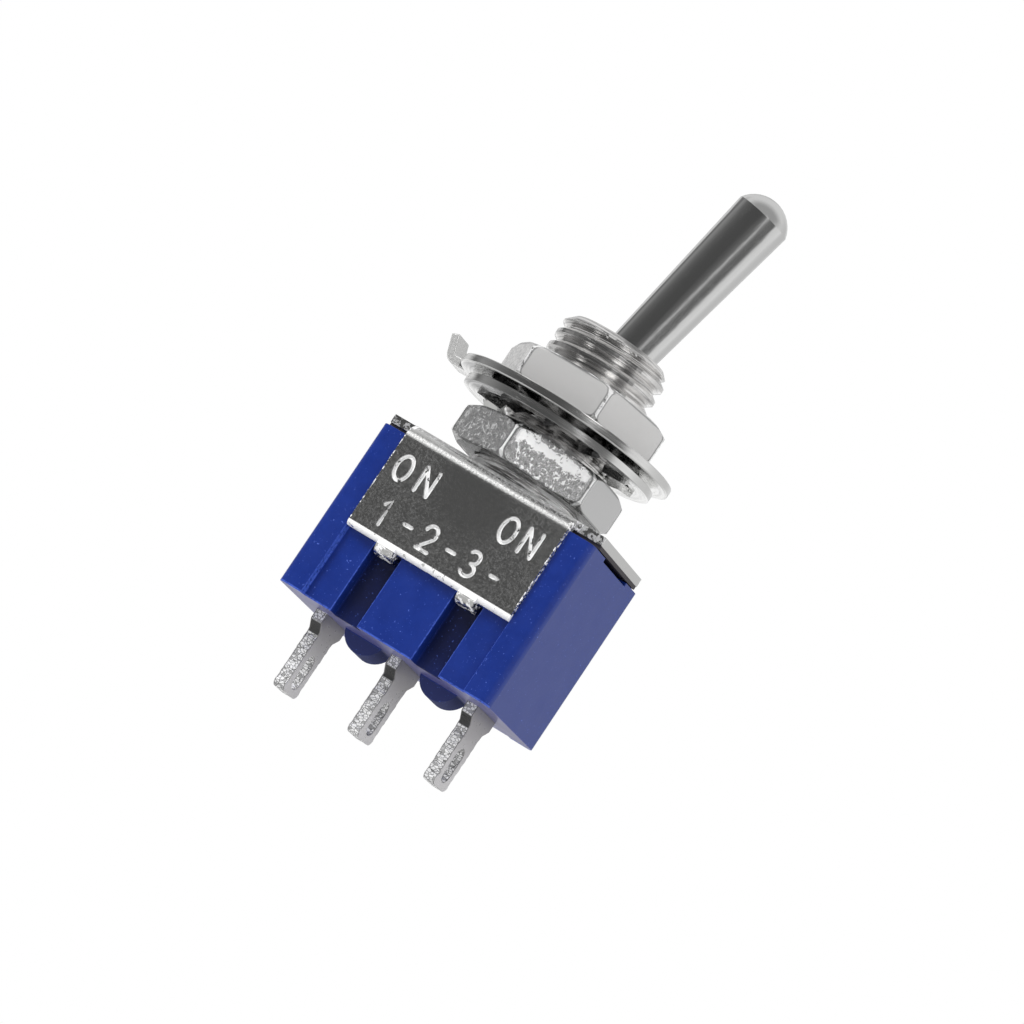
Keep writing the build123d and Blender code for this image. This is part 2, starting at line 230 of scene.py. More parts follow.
def fadeOut(tree, value, low, high):
    return ramp(tree, value, low * mm, high * mm, 1.0, 0.0)


def window(tree, value, low, high, soft):
    # 1 between low and high, fading to 0 over soft, all in millimetres
    return product(tree, fadeIn(tree, value, low - soft, low + soft),
                   fadeOut(tree, value, high - soft, high + soft))


def placeAxes(tree):
    # The object's own x, y and z in metres
    place = newNode(tree, "ShaderNodeTexCoord", (-1400, -200))
    split = newNode(tree, "ShaderNodeSeparateXYZ", (-1200, -200))
    tree.links.new(place.outputs["Object"], split.inputs[0])
    return split.outputs["X"], split.outputs["Y"], split.outputs["Z"]


def mixColor(tree, mask, low, high):
    # Fade between two colours, each a plain colour or a socket
    node = newNode(tree, "ShaderNodeMix", (-250, 200), data_type="RGBA")
    tree.links.new(mask, node.inputs["Factor"])
    setInput(tree, node.inputs[6], low)
    setInput(tree, node.inputs[7], high)
    return node.outputs[2]


def mixValue(tree, mask, low, high):
    return calc(tree, "MULTIPLY_ADD", mask, high - low, low)


def placeNoise(tree, vector, scale, detail):
    noise = newNode(tree, "ShaderNodeTexNoise", (-600, 200))
    tree.links.new(vector, noise.inputs["Vector"])
    setInput(tree, noise.inputs["Scale"], scale)
    setInput(tree, noise.inputs["Detail"], detail)
    return noise


def addBump(tree, shader, height, strength, depth):
    bump = newNode(tree, "ShaderNodeBump", (-250, -300))
    bump.inputs["Distance"].default_value = depth * mm
    setInput(tree, bump.inputs["Strength"], strength)
    tree.links.new(height, bump.inputs["Height"])
    tree.links.new(bump.outputs["Normal"], shader.inputs["Normal"])


# Effects that several finishes share

def makeGrainGroup():
    # Fine grain of a plated or moulded surface: roughness and height
    group, start, end = makeGroup("surfaceGrain", {"Scale": 4000.0, "Rough": 0.2, "Vary": 0.1, "Cloud": 500.0},
                                  ("Roughness", "Height"))
    place = newNode(group, "ShaderNodeTexCoord", (-900, -300))
    fine = placeNoise(group, place.outputs["Object"], start.outputs["Scale"], 3)
    cloud = placeNoise(group, place.outputs["Object"], start.outputs["Cloud"], 3)
    centred = calc(group, "SUBTRACT", cloud.outputs["Fac"], 0.5)
    spread = calc(group, "MULTIPLY_ADD", centred, start.outputs["Vary"], start.outputs["Rough"], clamp=True)
    group.links.new(spread, end.inputs["Roughness"])
    group.links.new(fine.outputs["Fac"], end.inputs["Height"])
    return group


def endWithMask(group, noise, level, soft, end):
    # The noise itself as height, and as a mask where it rises above the level
    edge = ramp(group, noise.outputs["Fac"], calc(group, "SUBTRACT", level, soft), calc(group, "ADD", level, soft))
    group.links.new(edge, end.inputs["Mask"])
    group.links.new(noise.outputs["Fac"], end.inputs["Height"])


def makeSpeckleGroup():
    # Worn specks: a mask of small ragged spots, and the height that goes with them
    group, start, end = makeGroup("wornSpecks", {"Scale": 3000.0, "Amount": 0.5, "Soft": 0.06, "Warp": 0.4},
                                  ("Mask", "Height"))
    place = newNode(group, "ShaderNodeTexCoord", (-1100, -300))
    noise = placeNoise(group, place.outputs["Object"], start.outputs["Scale"], 5)
    noise.inputs["Roughness"].default_value = 0.62
    group.links.new(start.outputs["Warp"], noise.inputs["Distortion"])
    level = calc(group, "MULTIPLY_ADD", start.outputs["Amount"], -0.5, 0.76)
    endWithMask(group, noise, level, start.outputs["Soft"], end)
    return group


def makeTurnedGroup():
    # Fine marks that run round the Z axis, as a lathe or a press leaves them
    group, start, end = makeGroup("turnedMarks", {"Scale": 5000.0, "Stretch": 0.06, "Soft": 0.12, "Level": 0.5},
                                  ("Mask", "Height"))
    x, y, z = placeAxes(group)
    along = product(group, calc(group, "ARCTAN2", y, x), 3 * mm, start.outputs["Stretch"])
    join = newNode(group, "ShaderNodeCombineXYZ", (-800, 200))
    for socket, value in zip(join.inputs, (distance(group, x, y), along, z)):
        group.links.new(value, socket)
    noise = placeNoise(group, join.outputs[0], start.outputs["Scale"], 4)
    endWithMask(group, noise, start.outputs["Level"], start.outputs["Soft"], end)
    return group


def makeNutFaceGroup():
    # How far a place is outside the rounded field of a hexagon's face, in millimetres
    group, start, end = makeGroup("nutFace", {"Turn": 0.0, "Middle": 0.0, "HalfLength": 2.1, "HalfHeight": 0.9,
                                              "Round": 0.4}, ("Distance", "Across"))
    x, y, z = placeAxes(group)
    angle = calc(group, "SUBTRACT", calc(group, "ARCTAN2", y, x), start.outputs["Turn"])
    folded = calc(group, "WRAP", angle, math.radians(30), -math.radians(30))
    along = calc(group, "DIVIDE", absolute(group, product(group, distance(group, x, y),
                                                          calc(group, "SINE", folded))), mm)
    rise = absolute(group, calc(group, "SUBTRACT", calc(group, "DIVIDE", z, mm), start.outputs["Middle"]))
    corner = []
    for place, half in ((along, "HalfLength"), (rise, "HalfHeight")):
        straight = calc(group, "SUBTRACT", start.outputs[half], start.outputs["Round"])
        corner.append(largest(group, calc(group, "SUBTRACT", place, straight), 0.0))
    group.links.new(along, end.inputs["Across"])
    group.links.new(calc(group, "SUBTRACT", distance(group, *corner), start.outputs["Round"]),
                    end.inputs["Distance"])
    return group


grainGroup = makeGrainGroup()
speckleGroup = makeSpeckleGroup()
turnedGroup = makeTurnedGroup()
nutFaceGroup = makeNutFaceGroup()
print("stage: shared effects ready")


# Finishes. In their values, places and lengths are in millimetres, and patterns are written as
# grain (scale, variation, cloud), specks (scale, amount, softness, warp), turned marks (scale,
# stretch, softness, level) and bumps (strength, depth)

def placeGrain(tree, roughness, scale, vary, cloud):
    return placeGroup(tree, grainGroup, Scale=scale, Rough=roughness, Vary=vary, Cloud=cloud)


def placeSpecks(tree, scale, amount, soft, warp):
    return placeGroup(tree, speckleGroup, Scale=scale, Amount=amount, Soft=soft, Warp=warp)


def placeTurned(tree, scale, stretch, soft, level):
    return placeGroup(tree, turnedGroup, Scale=scale, Stretch=stretch, Soft=soft, Level=level)


platingValues = {"grain": (6000.0, 0.05, 900.0), "bump": (0.1, 0.01)}


def makePlating(name, color, roughness, metallic=1.0):
    material, tree, shader = newMaterial(name, color, metallic, roughness)
    grain = placeGrain(tree, roughness, *platingValues["grain"])
    tree.links.new(grain["Roughness"], shader.inputs["Roughness"])
    addBump(tree, shader, grain["Height"], *platingValues["bump"])
    return material


blueValues = {
    "color": (0.0035, 0.022, 0.190), "paleColor": (0.006, 0.028, 0.222), "grooveShadeColor": (0.004, 0.007, 0.042),
    "speckColor": (0.10, 0.17, 0.62), "edgeSheenColor": (0.050, 0.105, 0.50), "endSheenColor": (0.018, 0.040, 0.215),
    "undersideSheenColor": (0.11, 0.11, 0.30), "lugColor": (0.022, 0.034, 0.150), "lugDull": 0.45,
    "roughness": 0.33, "grain": (5200.0, 0.15, 800.0), "bump": (0.16, 0.012),
    "broad": (900.0, 0.50, 0.22, 0.3), "edgeSpecks": (5600.0, 0.66, 0.10, 0.3), "specks": (8500.0, 0.16, 0.04, 0.2),
    "grooves": (-2.51, 2.51), "grooveHalf": 0.83, "grooveDark": 0.94, "grooveDepth": (2.6, 2.8, 3.25, 3.62),
    "edges": (-5.0, 5.0), "edgeDepth": (3.5, 3.6), "bottom": -9.95, "endSheenFrom": (6.38, 6.48),
    "grooveShadeFade": (-9.9, -8.5), "grooveShadeAmount": (0.78, 1.0),
}


def makeBlueMoulding():
    # Moulded plastic with painted shade in the grooves, a painted highlight along its edges broken into specks,
    # painted sheen on the right end and the underside, and pale at specks
    values = blueValues
    material, tree, shader = newMaterial("blueMoulding", values["color"], roughness=values["roughness"])
    grain = placeGrain(tree, values["roughness"], *values["grain"])
    addBump(tree, shader, grain["Height"], *values["bump"])
    broad, edgeSpecks, specks = [placeSpecks(tree, *values[key])["Mask"] for key in ("broad", "edgeSpecks", "specks")]
    x, y, z = placeAxes(tree)
    depth = absolute(tree, y)
    half, bottom = values["grooveHalf"], values["bottom"]
    base = mixColor(tree, broad, values["color"], values["paleColor"])
    # Painted sheen: the right end face is paler than the rest
    base = mixColor(tree, fadeIn(tree, x, *values["endSheenFrom"]), base, values["endSheenColor"])
    # Painted reflection: the bottom face is a pale lavender
    under = window(tree, z, bottom - 0.015, bottom + 0.02, 0.01)
    base = mixColor(tree, under, base, values["undersideSheenColor"])
    lug = fadeOut(tree, z, bottom - 0.10, bottom - 0.04)
    base = mixColor(tree, lug, base, values["lugColor"])
    tree.links.new(calc(tree, "MULTIPLY_ADD", lug, values["lugDull"], grain["Roughness"]),
                   shader.inputs["Roughness"])
    # Painted shade: the grooves are darkened, a little less towards the bottom edge
    sides = [window(tree, x, middle - half, middle + half, 0.16) for middle in values["grooves"]]
    inner, innerFull, outer, outerEnd = values["grooveDepth"]
    low, high = values["grooveShadeFade"]
    grooveShadeFade = ramp(tree, z, low * mm, high * mm, *values["grooveShadeAmount"])
    inGroove = product(tree, calc(tree, "ADD", *sides), fadeOut(tree, depth, outer, outerEnd),
                       fadeIn(tree, depth, inner, innerFull), grooveShadeFade, values["grooveDark"])
    base = mixColor(tree, inGroove, base, values["grooveShadeColor"])
    # Painted highlight: pale lines along the groove edges, the column edges and the bottom edge, broken up by specks
    lines = [window(tree, x, middle + side * half - 0.035, middle + side * half + 0.035, 0.03)
             for middle in values["grooves"] for side in (-1, 1)]
    lines += [window(tree, x, place - 0.04, place + 0.04, 0.03) for place in values["edges"]]
    lines.append(window(tree, z, bottom - 0.02, bottom + 0.08, 0.03))
    paleSpots = product(tree, largest(tree, *lines), fadeIn(tree, depth, *values["edgeDepth"]), edgeSpecks)
    base = mixColor(tree, paleSpots, base, values["edgeSheenColor"])
    tree.links.new(mixColor(tree, specks, base, values["speckColor"]), shader.inputs["Base Color"])
    return material


frameSteelValues = {
    "color": (0.80, 0.80, 0.79), "frostAndHighlight": (0.95, 0.95, 0.95), "dark": (0.28, 0.28, 0.28),
    "grey": (0.42, 0.42, 0.42), "paleSpots": (0.50, 0.50, 0.50), "roughness": 0.10, "frostRoughness": 0.45,
    "grain": (5200.0, 0.10, 420.0), "fine": (9000.0, 0.52, 0.16, 0.3), "coarse": (3300.0, 0.46, 0.04, 0.5),
    "ragged": (2300.0, 0.80, 0.04, 0.4), "dots": (5200.0, 0.46, 0.04, 0.4), "patches": (2700.0, 0.70, 0.03, 0.3),
    "haze": (9800.0, 0.42, 0.18, 0.2), "bend": (-0.62, 0.10), "line": (-0.22, 0.02), "foot": (-5.99, -5.66),
    "crimpTop": (-6.02, -5.96), "leg": 3.5, "ends": (4.93, 4.97), "corner": (4.78, 5.15),
    "cornerBottom": (-0.75, -0.60), "cornerSide": (2.95, 3.05), "wing": (5.05, 5.10), "wingSide": (3.10, 3.14),
    "front": (-3.95, -3.90), "markTop": (-1.25, -1.20), "markBottom": (-5.60, -5.55), "markSide": (4.72, 4.76),
    "markRim": (-4.147, -4.140), "markFloor": (-4.100, -4.072), "hazeMiddle": -1.6, "hazeReach": (1.2, 3.4),
    "hazeAmount": (0.03, 0.11),
}


def makeFrameSteel():
    # Bright pressed sheet: smooth in the middle, frosted along the bend and the cut edges, with painted highlight
    # patches in the marks and a painted shade line round each
    values = frameSteelValues
    material, tree, shader = newMaterial("frameSteel", values["color"], 1.0, values["roughness"])
    fine = placeSpecks(tree, *values["fine"])
    coarse, ragged, dots, patches, haze = [placeSpecks(tree, *values[key])["Mask"]
                                           for key in ("coarse", "ragged", "dots", "patches", "haze")]
    x, y, z = placeAxes(tree)
    acrossX, acrossY = absolute(tree, x), absolute(tree, y)
    onLeg = fadeIn(tree, acrossY, values["leg"] - 0.1, values["leg"] + 0.1)
    bend = product(tree, window(tree, z, *values["bend"], 0.35), onLeg)
    line = window(tree, z, *values["line"], 0.03)
    ends = fadeIn(tree, acrossX, *values["ends"])
    foot = largest(tree, product(tree, window(tree, z, *values["foot"], 0.03), ragged),
                   product(tree, fadeOut(tree, z, *values["crimpTop"]), coarse))
    corner = product(tree, window(tree, acrossX, *values["corner"], 0.06), fadeIn(tree, z, *values["cornerBottom"]),
                     fadeIn(tree, acrossY, *values["cornerSide"]))
    wing = product(tree, fadeIn(tree, acrossX, *values["wing"]), fadeIn(tree, acrossY, *values["wingSide"]), 0.45)
    blobs = product(tree, largest(tree, wing, corner), coarse)
    edges = product(tree, largest(tree, product(tree, line, 0.55), ends), onLeg, dots)
    # The marks: painted shade as a dark line round each, and painted highlight as white patches down inside
    inMark = product(tree, fadeOut(tree, y, *values["front"]), fadeOut(tree, z, *values["markTop"]),
                     fadeIn(tree, z, *values["markBottom"]), fadeOut(tree, acrossX, *values["markSide"]),
                     fadeIn(tree, y, *values["markRim"]))
    white = product(tree, inMark, fadeIn(tree, y, *values["markFloor"]), patches)
    shade = product(tree, inMark, opposite(tree, white))
    base = mixColor(tree, shade, values["color"], values["dark"])
    dull = largest(tree, product(tree, bend, fine["Mask"], 0.75), product(tree, line, onLeg, 0.9))
    base = mixColor(tree, dull, base, values["grey"])
    away = distance(tree, x, calc(tree, "SUBTRACT", z, values["hazeMiddle"] * mm))
    near, far = values["hazeReach"]
    paleSpots = product(tree, ramp(tree, away, near * mm, far * mm, *values["hazeAmount"]), haze, onLeg)
    base = mixColor(tree, paleSpots, base, values["paleSpots"])
    mask = largest(tree, edges, blobs, foot, white)
    tree.links.new(mixColor(tree, mask, base, values["frostAndHighlight"]), shader.inputs["Base Color"])
    plain = largest(tree, mask, product(tree, dull, 0.6), paleSpots)
    tree.links.new(mixValue(tree, plain, 1.0, 0.05), shader.inputs["Metallic"])
    grain = placeGrain(tree, values["roughness"], *values["grain"])
    rough = product(tree, largest(tree, mask, dull), values["frostRoughness"])
    tree.links.new(largest(tree, grain["Roughness"], rough), shader.inputs["Roughness"])
    edge = largest(tree, product(tree, bend, 0.6), ends, foot)
    addBump(tree, shader, fine["Height"], mixValue(tree, edge, 0.06, 0.5), 0.02)
    return material


threadValues = {
    "color": (0.90, 0.89, 0.88), "dark": (0.32, 0.32, 0.32), "glint": (0.92, 0.92, 0.92),
    "marks": (9500.0, 0.05, 0.16, 0.5), "streaks": (8200.0, 0.035, 0.05, 0.55), "glints": (7000.0, 0.05, 0.04, 0.51),
    "pitch": 0.75, "crest": 3.0, "root": 2.70, "flat": 0.22, "start": 0.30, "turns": 12, "steps": 64,
    "leadIn": 100.0, "collarTop": (0.60, 0.80),
}


def makeThreadNickel():
    # Plated thread with painted dark streaks that run round it
    values = threadValues
    material, tree, shader = newMaterial("threadNickel", values["color"], 1.0, 0.16)
    marks, streaks, glints = [placeTurned(tree, *values[key]) for key in ("marks", "streaks", "glints")]
    z = placeAxes(tree)[2]
    collar = fadeOut(tree, z, *values["collarTop"])
    # Painted reflection: dark streaks round the thread, stronger on the collar
    paintedDark = product(tree, streaks["Mask"], mixValue(tree, collar, 0.55, 0.70))
    white = product(tree, glints["Mask"], collar, fadeIn(tree, z, -0.02, 0.03))
    base = mixColor(tree, paintedDark, values["color"], values["dark"])
    tree.links.new(mixColor(tree, white, base, values["glint"]), shader.inputs["Base Color"])
    tree.links.new(mixValue(tree, white, 1.0, 0.1), shader.inputs["Metallic"])
    addBump(tree, shader, marks["Height"], mixValue(tree, collar, 0.55, 1.0), 0.03)
    tree.links.new(mixValue(tree, marks["Mask"], 0.09, 0.22), shader.inputs["Roughness"])
    return material


leverChromeValues = {"color": (0.80, 0.80, 0.795), "lean": 11.5, "stretch": (1.0, 1.0, 0.14), "grain": 11000.0,
                     "bump": (0.30, 0.01), "roughness": (0.08, 0.14)}


def makeLeverChrome():
    # Chrome with fine marks along the lever
    values = leverChromeValues
    material, tree, shader = newMaterial("leverChrome", values["color"], 1.0, 0.12)
    place = newNode(tree, "ShaderNodeTexCoord", (-1200, 0))
    turn = newNode(tree, "ShaderNodeMapping", (-1000, 0))
    turn.inputs["Rotation"].default_value = (0, -math.radians(values["lean"]), 0)
    tree.links.new(place.outputs["Object"], turn.inputs["Vector"])
    stretch = newNode(tree, "ShaderNodeMapping", (-900, 0))
    stretch.inputs["Scale"].default_value = values["stretch"]
    tree.links.new(turn.outputs[0], stretch.inputs["Vector"])
    noise = placeNoise(tree, stretch.outputs[0], values["grain"], 4)
    addBump(tree, shader, noise.outputs["Fac"], *values["bump"])
    tree.links.new(ramp(tree, noise.outputs["Fac"], 0.3, 0.7, *values["roughness"]), shader.inputs["Roughness"])
    return material


nutValues = {"color": (0.63, 0.625, 0.62), "frostAndHighlight": (0.96, 0.96, 0.96), "bright": (0.80, 0.80, 0.80),
             "rim": (0.24, 0.24, 0.24), "paintedShadow": (0.07, 0.07, 0.07), "leftFaceShade": (0.36, 0.36, 0.36)}
panelNutValues = {
    "turn": 35.8, "middle": 5.443, "halfLength": 2.17, "halfHeight": 0.90, "round": 0.42, "leftAngle": -144.2,
    "roughness": 0.34, "metallic": (0.30, 0.95), "grain": (5000.0, 0.06, 700.0), "specks": (2900.0, 0.62, 0.05, 0.6),
    "crumbs": (6200.0, 0.52, 0.07, 0.4), "frostFrom": (4.04, 4.14), "bump": (0.5, 0.04),
}
backNutValues = {
    "turn": 59.0, "middle": 1.62, "halfLength": 2.20, "halfHeight": 0.92, "round": 0.48, "band": (1.86, 2.34),
    "roughness": 0.15, "frostRoughness": 0.40, "faceAngle": -61.0, "plainAngle": -1.0, "leftAngle": -121.0,
    "fine": (4600.0, 0.40, 0.03, 0.5), "broad": (2600.0, 0.78, 0.05, 0.8), "marks": (4600.0, 0.10, 0.04, 0.60),
    "wave": 1.1, "below": (0.63, 0.66),
}


def facing(tree, x, y, degrees, half=27.0, soft=1.5):
    # 1 on the side that points this way, worked out from the place round the Z axis
    turn = math.radians(degrees)
    ahead = calc(tree, "MULTIPLY_ADD", x, math.cos(turn), product(tree, y, math.sin(turn)))
    aside = calc(tree, "MULTIPLY_ADD", x, -math.sin(turn), product(tree, y, math.cos(turn)))
    angle = absolute(tree, calc(tree, "ARCTAN2", aside, ahead))
    return ramp(tree, angle, math.radians(half - soft), math.radians(half + soft), 1.0, 0.0)


def placeNutFace(tree, values):
    return placeGroup(tree, nutFaceGroup, Turn=math.radians(values["turn"]), Middle=values["middle"],
                      HalfLength=values["halfLength"], HalfHeight=values["halfHeight"], Round=values["round"])


def makePanelNutNickel():
    # Satin faces, each a rounded field with a thin dark line, painted shade in crumbs on the left face, then bright
    # plating frosted at the corners
    values = panelNutValues
    satinMetal, brightMetal = values["metallic"]
    material, tree, shader = newMaterial("panelNutNickel", nutValues["color"], satinMetal, values["roughness"])
    grain = placeGrain(tree, values["roughness"], *values["grain"])
    specks = placeSpecks(tree, *values["specks"])
    crumbs = placeSpecks(tree, *values["crumbs"])["Mask"]
    x, y, z = placeAxes(tree)
    away = placeNutFace(tree, values)["Distance"]
    outside = ramp(tree, away, 0.02, 0.05)
    line = product(tree, ramp(tree, away, -0.05, 0.0), ramp(tree, away, 0.03, 0.07, 1.0, 0.0))
    tree.links.new(calc(tree, "MULTIPLY_ADD", outside, -0.16, grain["Roughness"]), shader.inputs["Roughness"])
    frosted = product(tree, specks["Mask"], outside, fadeIn(tree, distance(tree, x, y), *values["frostFrom"]))
    metal = product(tree, outside, opposite(tree, frosted))
    tree.links.new(mixValue(tree, metal, satinMetal, brightMetal), shader.inputs["Metallic"])
    # Painted shade: the left face is darkened in crumbs
    leftFace = product(tree, facing(tree, x, y, values["leftAngle"]), crumbs, 0.8)
    satin = mixColor(tree, leftFace, nutValues["color"], nutValues["leftFaceShade"])
    base = mixColor(tree, outside, satin, nutValues["bright"])
    base = mixColor(tree, frosted, base, nutValues["frostAndHighlight"])
    base = mixColor(tree, product(tree, line, 0.75), base, nutValues["rim"])
    tree.links.new(base, shader.inputs["Base Color"])
    height = calc(tree, "MULTIPLY_ADD", specks["Height"], outside, product(tree, grain["Height"], 0.1))
    addBump(tree, shader, height, *values["bump"])
    return material


def makeBackNutNickel():
    # Plating crumpled all round, with a ragged painted highlight band on one face, and painted shadow below
    values = backNutValues
    material, tree, shader = newMaterial("backNutNickel", nutValues["bright"], 1.0, values["roughness"])
    fine, broad = placeSpecks(tree, *values["fine"]), placeSpecks(tree, *values["broad"])
    marks = placeTurned(tree, *values["marks"])["Mask"]
    x, y, z = placeAxes(tree)
    field = placeNutFace(tree, values)
    away = field["Distance"]
    outside = ramp(tree, away, 0.02, 0.06)
    line = product(tree, ramp(tree, away, -0.05, 0.0), ramp(tree, away, 0.03, 0.08, 1.0, 0.0))
    highlightFace, plainFace, leftFace = [facing(tree, x, y, values[key])
                                   for key in ("faceAngle", "plainAngle", "leftAngle")]
    plain = product(tree, plainFace, opposite(tree, outside))
    # Painted highlight: a ragged white frosted band across one face
    wave = product(tree, calc(tree, "SUBTRACT", broad["Height"], 0.5), values["wave"] * mm)
    band = window(tree, calc(tree, "ADD", z, wave), *values["band"], 0.07)
    highlightBand = product(tree, band, highlightFace, broad["Mask"])
    specks = product(tree, fine["Mask"], largest(tree, product(tree, highlightFace, 0.85), product(tree, leftFace, 0.35)))
    corner = product(tree, outside, broad["Mask"], ramp(tree, field["Across"], 1.95, 2.15, 0.0, 0.85))
    below = fadeOut(tree, z, *values["below"])
    frosted = product(tree, largest(tree, highlightBand, specks, corner), opposite(tree, below))
    tree.links.new(mixValue(tree, frosted, 1.0, 0.05), shader.inputs["Metallic"])
    rough = mixValue(tree, largest(tree, frosted, plain), values["roughness"], values["frostRoughness"])
    tree.links.new(rough, shader.inputs["Roughness"])
    # Painted shadow on the bottom face, broken by turned marks
    shadowed = product(tree, below, opposite(tree, marks))
    base = mixColor(tree, frosted, nutValues["bright"], nutValues["frostAndHighlight"])
    base = mixColor(tree, product(tree, line, 0.6), base, nutValues["rim"])
    tree.links.new(mixColor(tree, shadowed, base, nutValues["paintedShadow"]), shader.inputs["Base Color"])
    height = calc(tree, "MULTIPLY_ADD", broad["Height"], 0.8, fine["Height"])
    addBump(tree, shader, height, mixValue(tree, plain, 0.9, 0.03), 0.07)
    return material


washerValues = {
    "color": (0.86, 0.86, 0.85), "paintedShadow": (0.05, 0.05, 0.05), "shadowLineColor": (0.26, 0.26, 0.26),
    "marks": (6500.0, 0.05, 0.14, 0.5), "scratches": (9000.0, 0.04, 0.06, 0.66), "lines": (16000.0, 0.03, 0.14, 0.52),
    "undersides": ((2.9, 3.29), (3.90, 3.955)), "inside": 5.30, "teeth": 4.85, "teethTop": (3.87, 3.89),
    "shadeAngle": -84.0, "shadeHalf": 72.0, "shadeSoft": 14.0, "tab": (6.30, 6.42), "tabPale": 0.45,
}


def makeWasherNickel():
    # Plated rings with turned marks, painted shadow on the undersides and the teeth toward the front, with light
    # lines and a few bright scratches in it
    values = washerValues
    material, tree, shader = newMaterial("washerNickel", values["color"], 1.0, 0.14)
    marks, scratches, lines = [placeTurned(tree, *values[key]) for key in ("marks", "scratches", "lines")]
    x, y, z = placeAxes(tree)
    reach = distance(tree, x, y)
    # Painted shadow on the undersides and the teeth, on the front half only, with light lines in it
    below = [window(tree, z, low, high, 0.015) for low, high in values["undersides"]]
    teeth = product(tree, fadeOut(tree, z, *values["teethTop"]),
                    fadeOut(tree, reach, values["teeth"], values["teeth"] + 0.15))
    paintedDark = product(tree, largest(tree, *below, teeth),
                    fadeOut(tree, reach, values["inside"] + 0.60, values["inside"] + 0.66),
                    opposite(tree, scratches["Mask"]),
                    facing(tree, x, y, values["shadeAngle"], values["shadeHalf"], values["shadeSoft"]))
    paintedShadow = mixColor(tree, lines["Mask"], values["paintedShadow"], values["shadowLineColor"])
    tree.links.new(mixColor(tree, paintedDark, values["color"], paintedShadow), shader.inputs["Base Color"])
    tab = product(tree, fadeIn(tree, reach, *values["tab"]), values["tabPale"])
    tree.links.new(mixValue(tree, tab, 1.0, 0.0), shader.inputs["Metallic"])
    tree.links.new(mixValue(tree, marks["Mask"], 0.10, 0.22), shader.inputs["Roughness"])
    addBump(tree, shader, marks["Height"], mixValue(tree, paintedDark, 0.55, 0.1), 0.04)
    return material


terminalValues = {
    "color": (0.66, 0.65, 0.66), "shade": (0.34, 0.33, 0.34), "torn": (0.95, 0.95, 0.95), "crack": (0.07, 0.07, 0.07),
    "grain": (4200.0, 0.45, 0.2, 0.3), "cells": (4600.0, 4600.0, 8200.0), "shadeFrom": (-13.4, -10.3),
    "bump": (0.5, 0.04), "pitch": 4.7, "inside": 0.29, "notchShade": (-11.06, -10.50), "edge": 0.06, "halfWidth": 0.95,
    "top": -11.1, "tip": -13.95, "step": 0.155, "tear": 0.07,
}


def placeCells(tree, vector, kind, output):
    cells = newNode(tree, "ShaderNodeTexVoronoi", (-800, 300), feature=kind)
    cells.inputs["Scale"].default_value = 1.0
    tree.links.new(vector, cells.inputs["Vector"])
    return cells.outputs[output]


def makeTerminalPlate():
    # Tinned blades: satin sides, and punched edges torn into bright cells with dark cracks between them
    values = terminalValues
    material, tree, shader = newMaterial("terminalPlate", values["color"], 0.55, 0.32)
    grain = placeSpecks(tree, *values["grain"])
    x, y, z = placeAxes(tree)
    half = values["pitch"] / 2 * mm
    fold = absolute(tree, calc(tree, "WRAP", x, half, -half))
    punched = fadeOut(tree, fold, values["inside"] - 0.02, values["inside"] + 0.02)
    place = newNode(tree, "ShaderNodeTexCoord", (-1200, 300))
    squash = newNode(tree, "ShaderNodeMapping", (-1000, 300))
    squash.inputs["Scale"].default_value = values["cells"]
    tree.links.new(place.outputs["Object"], squash.inputs["Vector"])
    between = placeCells(tree, squash.outputs[0], "DISTANCE_TO_EDGE", "Distance")
    tone = newNode(tree, "ShaderNodeSeparateColor", (-600, 600))
    tree.links.new(placeCells(tree, squash.outputs[0], "F1", "Color"), tone.inputs[0])
    hollow = ramp(tree, tone.outputs[0], 0.16, 0.24, 0.55, 0.0)
    crack = largest(tree, ramp(tree, between, 0.02, 0.11, 0.85, 0.0), hollow)
    # Painted shade: the notch near the blade's root is dark in the crack colour
    dark = largest(tree, crack, window(tree, z, *values["notchShade"], 0.04))
    torn = mixColor(tree, dark, values["torn"], values["crack"])
    side = mixColor(tree, fadeIn(tree, z, *values["shadeFrom"]), values["color"], values["shade"])
    base = mixColor(tree, punched, side, torn)
    line = product(tree, window(tree, fold, 0.288, 0.312, 0.008), 0.7)
    tree.links.new(mixColor(tree, line, base, values["crack"]), shader.inputs["Base Color"])
    tree.links.new(mixValue(tree, punched, 0.55, 0.30), shader.inputs["Metallic"])
    tree.links.new(mixValue(tree, grain["Mask"], 0.38, 0.26), shader.inputs["Roughness"])
    height = calc(tree, "MULTIPLY_ADD", product(tree, crack, punched), -1.0, product(tree, grain["Height"], 0.1))
    addBump(tree, shader, height, *values["bump"])
    return material


blueMoulding = makeBlueMoulding()
frameSteel = makeFrameSteel()
threadNickel = makeThreadNickel()
leverChrome = makeLeverChrome()
panelNutNickel = makePanelNutNickel()
backNutNickel = makeBackNutNickel()
terminalPlate = makeTerminalPlate()
washerNickel = makeWasherNickel()
pinSteel = makePlating("pinSteel", (0.60, 0.60, 0.58), 0.3)
plungerPlastic = makePlating("plungerPlastic", (0.80, 0.78, 0.70), 0.45, metallic=0.0)
springSteel = makePlating("springSteel", (0.50, 0.50, 0.50), 0.3)
rockerBrass = makePlating("rockerBrass", (0.80, 0.60, 0.28), 0.28)
contactSilver = makePlating("contactSilver", (0.90, 0.89, 0.86), 0.2)
insulatorFibre = makePlating("insulatorFibre", (0.045, 0.040, 0.045), 0.6, metallic=0.0)
print("stage: finishes ready")


# Case

caseValues = {"edge": 0.10}


def buildCase():
    piece = copyNode("case", "caseShell")
    softenEdges(piece, caseValues["edge"])
    return settle(piece, "base", "blue_moulding", blueMoulding, "case")


buildCase()
print("stage: case done")


# Frame with its stamped marks

